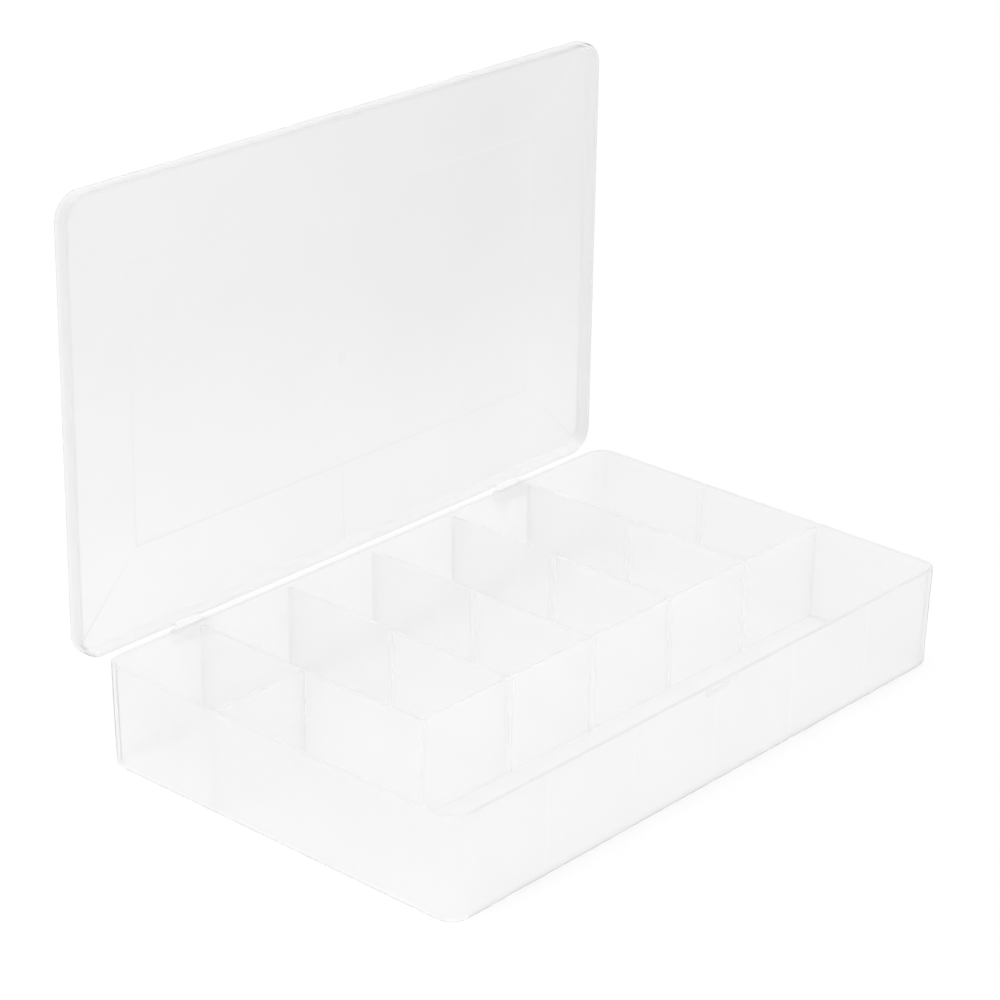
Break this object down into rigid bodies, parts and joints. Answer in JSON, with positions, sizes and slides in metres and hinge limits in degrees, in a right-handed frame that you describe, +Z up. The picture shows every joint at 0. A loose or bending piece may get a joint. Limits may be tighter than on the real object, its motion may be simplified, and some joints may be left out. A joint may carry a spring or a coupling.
{
  "type": "parts organizer",
  "caption": "Shallow translucent compartment box for small parts, with fixed dividers, a loose divider in guide ribs and a hinged lid standing open.",
  "frame": {"origin": "centre of the tray's underside, on the surface it stands on", "axes": "+X along the hinge, +Y towards the hinge side, +Z up; the lid stands open at a right angle"},
  "size_m": [0.2794, 0.1865, 0.212],
  "materials": {
    "frosted_polypropylene": "moulded natural polypropylene, frosted",
    "natural_polypropylene": "moulded natural polypropylene, satin",
    "pin_plastic": "moulded natural plastic, satin"
  },
  "bodies": {
    "tray": {"tray": "frosted_polypropylene", "long_divider": "frosted_polypropylene", "cross_divider_1": "frosted_polypropylene", "cross_divider_2": "frosted_polypropylene", "cross_divider_3": "frosted_polypropylene", "cross_divider_4": "frosted_polypropylene", "cross_divider_5": "frosted_polypropylene", "loose_divider": "natural_polypropylene", "hinge_pin_left": "pin_plastic", "hinge_pin_right": "pin_plastic"},
    "lid": {"lid": "frosted_polypropylene"}
  },
  "joints": [
    {"name": "lid_hinge", "type": "hinge", "parent": "tray", "child": "lid", "pos_m": [0, 0.091, 0.0338], "axis": [-1, 0, 0], "range_deg": [-90, 90]}
  ]
}
